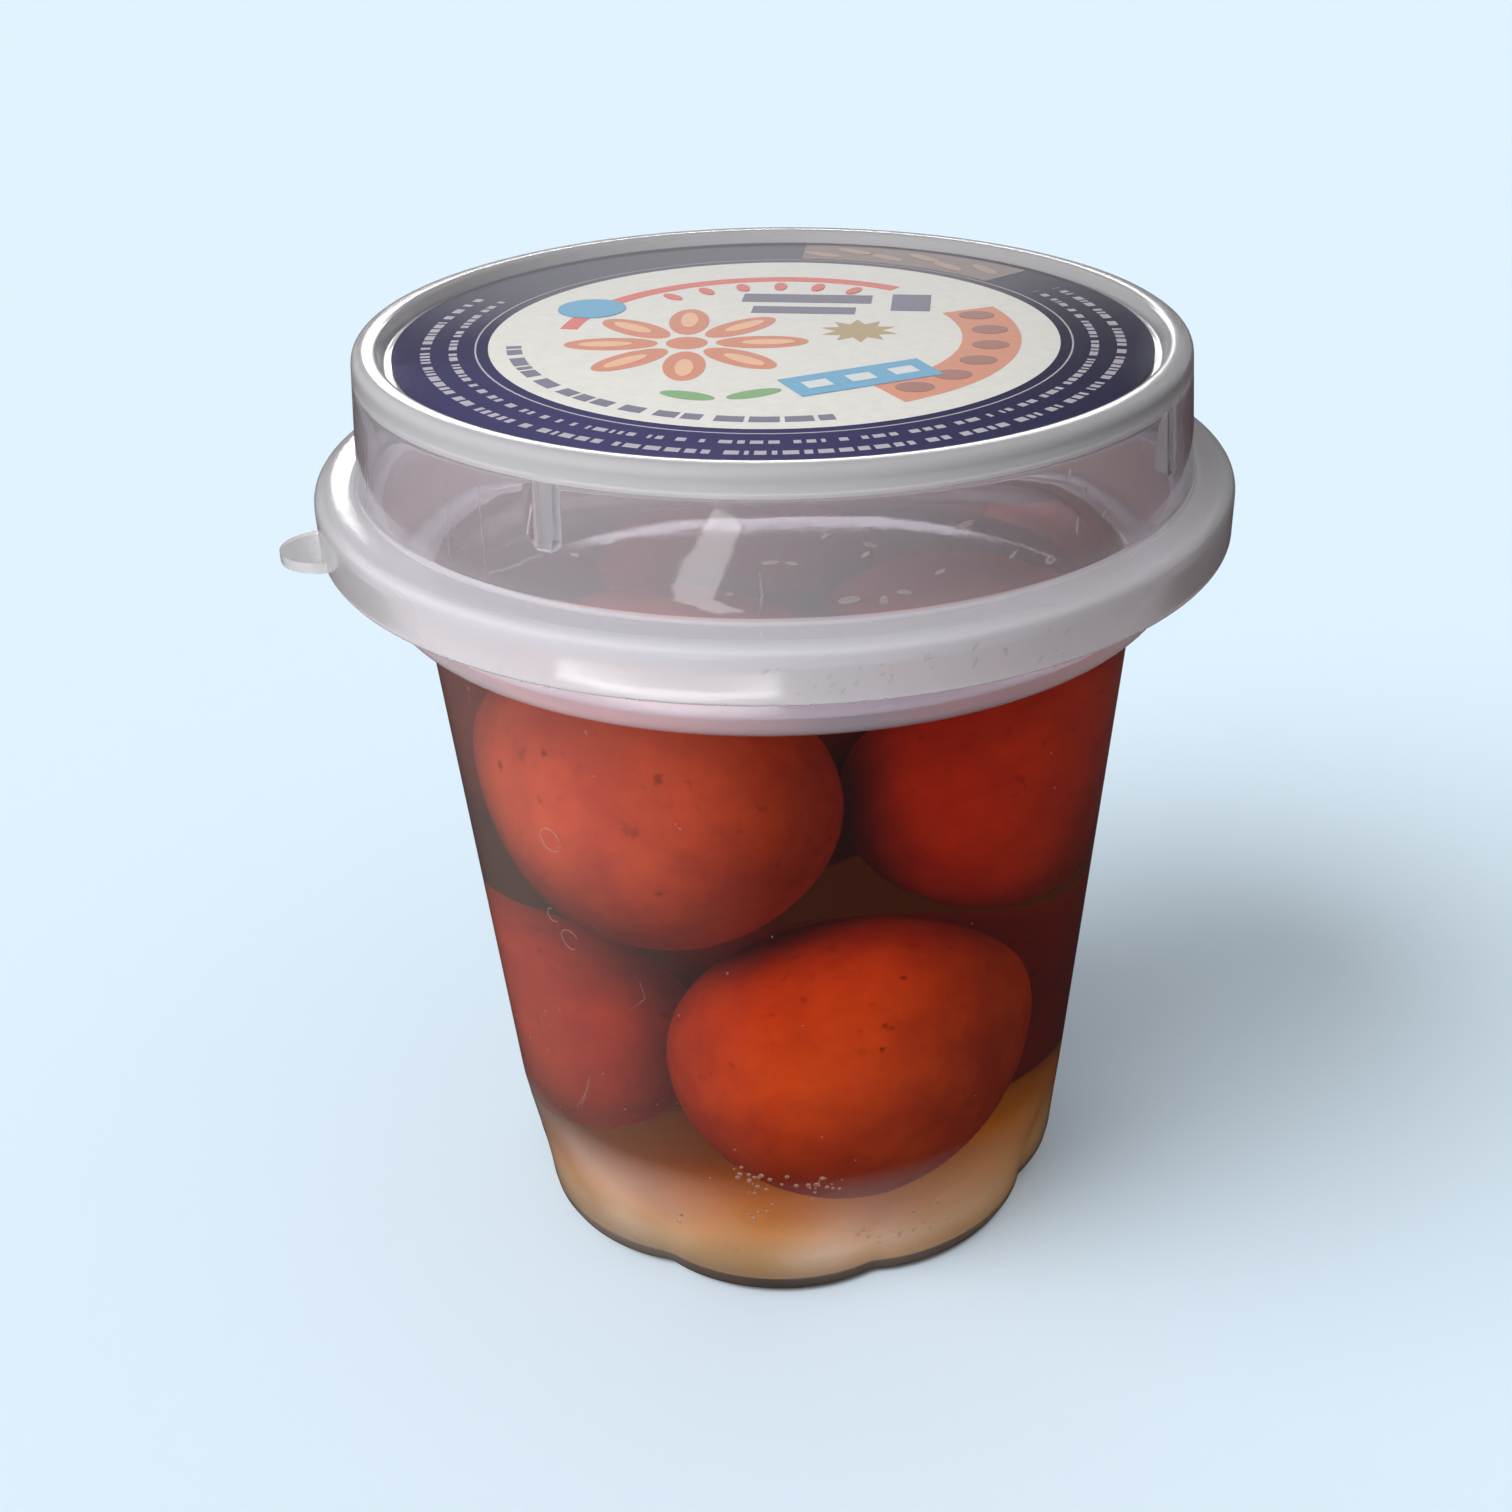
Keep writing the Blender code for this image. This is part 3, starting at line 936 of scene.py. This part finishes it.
def make_lid_marks():
    """Drops and dents on the drum, and nicks and drops on the skirt; the milky line down the drum's front is a
    painted highlight.
    """
    chance = random.Random(23)
    bm = bmesh.new()
    drops = ((-91.3, 94.8, 0.9, 0.22, 4), (-88.8, 94.7, 0.7, 0.2, -8), (-82.4, 91.2, 1.1, 0.35, 5),
             (-78.4, 90.9, 0.45, 0.4, 0), (-80.5, 95.1, 0.5, 0.2, 30), (-79.9, 95.9, 0.7, 0.2, -20),
             (-68.4, 96.6, 1.0, 0.3, 10), (-56.5, 91.6, 0.6, 0.45, 0), (-50.7, 96.7, 0.5, 0.3, 60),
             (-71.6, 92.8, 0.6, 0.2, 15), (-53.2, 99.0, 0.9, 0.2, 70), (-114.3, 94.3, 0.6, 0.2, 0),
             (-76.0, 91.4, 0.8, 0.22, -10), (-62.0, 93.0, 0.5, 0.2, 40), (-47.0, 94.0, 0.5, 0.3, 20),
             (-96.0, 92.0, 0.4, 0.15, 0), (-85.0, 97.0, 0.5, 0.15, 35), (-52.0, 94.0, 0.9, 0.15, 85))
    for angle, height, long, wide, turn in drops:
        add_blob(bm, DRUM_SIDE, angle, height * MM, (long * MM, wide * MM, 0.16 * MM), turn)
    for _ in range(34):
        angle = chance.uniform(-96.0, -58.0)
        height = chance.uniform(84.6, 87.6) * MM
        size = chance.uniform(0.08, 0.2) * MM
        add_blob(bm, SKIRT_SIDE, angle, height, (size * chance.uniform(1.0, 3.0), size, size * 0.4),
                 chance.uniform(20.0, 80.0))
    finish_marks("lid_drops", bm, dew_material())

    bm = bmesh.new()
    add_thread(bm, DRUM_SIDE, [(-133.9, 99.6 * MM), (-133.7, 94.0 * MM), (-133.6, 90.6 * MM)], 0.05 * MM)
    add_thread(bm, DRUM_SIDE, [(-128.0, 98.8 * MM), (-127.6, 94.0 * MM), (-127.3, 91.0 * MM)], 0.06 * MM)
    # Painted highlight: this milky line down the front of the drum stands in for a thin reflection on the wall.
    add_thread(bm, DRUM_SIDE, [(-92.5, 94.0 * MM), (-92.3, 92.0 * MM), (-92.6, 90.0 * MM)], 0.10 * MM)
    add_thread(bm, DRUM_SIDE, [(-156.9, 99.0 * MM), (-156.6, 91.5 * MM)], 0.12 * MM)
    for _ in range(22):
        angle = chance.uniform(-130.0, -45.0)
        add_blob(bm, SKIRT_SIDE, angle, 83.75 * MM, (chance.uniform(0.12, 0.4) * MM, 0.12 * MM, 0.1 * MM))
    finish_marks("lid_scuffs", bm, scuff_material())


def make_floor():
    bm = bmesh.new()
    bmesh.ops.create_circle(bm, cap_ends=True, segments=96, radius=6.0)
    mesh = bpy.data.meshes.new("floor")
    bm.to_mesh(mesh)
    bm.free()
    n = Nodes("floor")
    path = n.add("LightPath")
    # Painted light: to every ray but the camera's the floor is dark, except a painted pool of warm light round the
    # tub's foot, which shows through the tub and in bounced light but not in reflections.
    near = n.remap(n.distance((0.006, 0.004, 0.0)), *GLOW_REACH, 1.0, 0.0)
    through = n.math("SUBTRACT", 1.0, path.outputs["Is Glossy Ray"])
    unseen = n.mix_colour(n.math("MULTIPLY", near, through), SURROUND_COLOUR, GLOW_COLOUR)
    body = n.principled(
        Base_Color=n.mix_colour(path.outputs["Is Camera Ray"], unseen, FLOOR_COLOUR),
        Roughness=1.0, Specular_IOR_Level=0.0,
    )
    mesh.materials.append(n.show(body.outputs[0]))
    floor = bpy.data.objects.new("floor", mesh)
    bpy.context.scene.collection.objects.link(floor)
    floor.location.z = -0.0002
    return floor


def aim(lamp, azimuth, elevation, distance, target):
    """Place a lamp at an angle round a target and turn it to face the target."""
    a, e = math.radians(azimuth), math.radians(elevation)
    way = Vector((math.cos(a) * math.cos(e), math.sin(a) * math.cos(e), math.sin(e)))
    lamp.location = target + way * distance
    lamp.rotation_euler = way.to_track_quat("Z", "Y").to_euler()


def add_lamp(name, kind, energy, colour=(1.0, 1.0, 1.0)):
    light = bpy.data.lights.new(name, kind)
    light.energy = energy
    light.color = colour
    lamp = bpy.data.objects.new(name, light)
    bpy.context.scene.collection.objects.link(lamp)
    lamp.visible_camera = False
    return lamp


def add_card(name, size, brightness):
    """A bright card that only shows in reflections. brightness 1 is the floor's."""
    lamp = add_lamp(name, "AREA", brightness * math.pi * size[0] * size[1])
    lamp.data.shape = "RECTANGLE"
    lamp.data.size, lamp.data.size_y = size
    lamp.visible_diffuse = False
    lamp.visible_volume_scatter = False
    return lamp


def add_floor_card(name, centre, size, turn, brightness):
    """A card lying face up on the floor, for reflections in the upright walls."""
    lamp = add_card(name, size, brightness)
    lamp.location = (*centre, 0.004)
    lamp.rotation_euler = (math.pi, 0.0, math.radians(turn))
    lamp.visible_transmission = False
    return lamp


def make_world():
    """An even surround that looks like the floor to the camera and dimmer to everything else."""
    world = bpy.data.worlds.new("studio")
    world.use_nodes = True
    tree = world.node_tree
    seen = tree.nodes["Background"]
    seen.inputs["Color"].default_value = (*FLOOR_COLOUR, 1.0)
    unseen = tree.nodes.new("ShaderNodeBackground")
    unseen.inputs["Strength"].default_value = AMBIENT
    path = tree.nodes.new("ShaderNodeLightPath")
    mix = tree.nodes.new("ShaderNodeMixShader")
    tree.links.new(path.outputs["Is Camera Ray"], mix.inputs[0])
    tree.links.new(unseen.outputs[0], mix.inputs[1])
    tree.links.new(seen.outputs[0], mix.inputs[2])
    tree.links.new(mix.outputs[0], tree.nodes["World Output"].inputs["Surface"])
    bpy.context.scene.world = world


def shine_on(lamp, receivers, blockers=()):
    """Limit a lamp to some pieces, and its shadows to those cast by others."""
    lit = bpy.data.collections.new(lamp.name + "_lights")
    for item in receivers:
        lit.objects.link(item)
    lamp.light_linking.receiver_collection = lit
    if blockers:
        dark = bpy.data.collections.new(lamp.name + "_shadows")
        for item in blockers:
            dark.objects.link(item)
        lamp.light_linking.blocker_collection = dark


def add_soft_lamp(name, strength, angles, distance, size, target, receivers, colour=(1.0, 1.0, 1.0)):
    """A round soft lamp that gives a target a set irradiance and shows in no reflection."""
    lamp = add_lamp(name, "AREA", strength * math.pi * distance ** 2, colour)
    lamp.data.shape = "DISK"
    lamp.data.size = size
    aim(lamp, *angles, distance, target)
    lamp.visible_glossy = False
    lamp.visible_transmission = False
    shine_on(lamp, receivers)


def make_light(floor):
    """A large soft light close on the left, fills, and cards for reflections in the plastic."""
    make_world()
    centre = Vector((0.0, 0.0, 0.06))
    tub = [item for item in bpy.context.scene.objects if item.type == "MESH" and item != floor]
    shadow_casters = [item for item in tub if not item.name.startswith("syrup")]
    cup = [item for item in tub if item.name == "cup_shell"]

    add_soft_lamp("soft_key", KEY_STRENGTH, KEY_ANGLES, 0.26, 0.20, centre, tub)
    add_soft_lamp("low_fill", LOW_FILL_STRENGTH, LOW_FILL_ANGLES, 0.34, 0.26, centre, tub)
    add_soft_lamp("back_fill", BACK_FILL_STRENGTH, BACK_FILL_ANGLES, 0.40, 0.30, centre, tub)
    for number, angles in enumerate(FOOT_GLOW_ANGLES, start=1):
        add_soft_lamp(f"foot_glow_{number}", FOOT_GLOW_STRENGTH, angles, 0.22, 0.12,
                      Vector((0.0, 0.0, 0.01)), cup, FOOT_GLOW_COLOUR)

    rise = math.sin(math.radians(FLOOR_KEY_ANGLES[1]))
    sun = add_lamp("floor_key", "SUN", FLOOR_KEY_SHARE * math.pi / rise)
    sun.data.angle = math.radians(FLOOR_KEY_SPREAD)
    aim(sun, *FLOOR_KEY_ANGLES, 1.0, centre)
    shine_on(sun, [floor], shadow_casters)
    fill = add_lamp("floor_fill", "SUN", FLOOR_FILL_SHARE * math.pi)
    fill.data.angle = math.radians(100.0)
    shine_on(fill, [floor], shadow_casters)

    back = add_card("back_card", (0.36, 0.028), 22.0)
    back.location = (-0.025, 0.600, BACK_CARD_TOP - 0.014)
    back.rotation_euler = (-math.pi / 2, 0.0, 0.0)
    skirt = add_floor_card("skirt_card", (-0.080, -0.170), (0.165, 0.020), -23.0, 10.0)
    drum = add_floor_card("drum_card", (-0.122, -0.395), (0.060, 0.140), 16.0, 5.0)
    for card in (back, skirt, drum):
        shine_on(card, tub)


def make_camera():
    data = bpy.data.cameras.new("camera")
    data.sensor_width = 36.0
    data.lens = CAMERA_LENS
    data.shift_x = CAMERA_SHIFT
    data.clip_start = 0.005
    data.clip_end = 50.0
    camera = bpy.data.objects.new("camera", data)
    bpy.context.scene.collection.objects.link(camera)
    forward = Vector((
        math.sin(CAMERA_YAW) * math.cos(CAMERA_PITCH),
        math.cos(CAMERA_YAW) * math.cos(CAMERA_PITCH),
        -math.sin(CAMERA_PITCH),
    ))
    right = Vector((math.cos(CAMERA_YAW), -math.sin(CAMERA_YAW), 0.0))
    up = right.cross(forward)
    side = math.cos(CAMERA_ROLL) * right + math.sin(CAMERA_ROLL) * up
    top = math.cos(CAMERA_ROLL) * up - math.sin(CAMERA_ROLL) * right
    turn = Matrix((side, top, -forward)).transposed()
    camera.matrix_world = Matrix.Translation(CAMERA_PLACE) @ turn.to_4x4()
    bpy.context.scene.camera = camera


make_cup()
make_syrup()
make_jamuns()
make_lid()
make_label()
make_cup_marks()
make_lid_marks()
make_light(make_floor())
make_camera()
bpy.context.scene.view_settings.view_transform = "Standard"
cycles = bpy.context.scene.cycles
cycles.max_bounces = 14
cycles.diffuse_bounces = 3
cycles.transmission_bounces = 12
cycles.transparent_max_bounces = 20
cycles.adaptive_threshold = 0.05
cycles.sample_clamp_indirect = 5.0
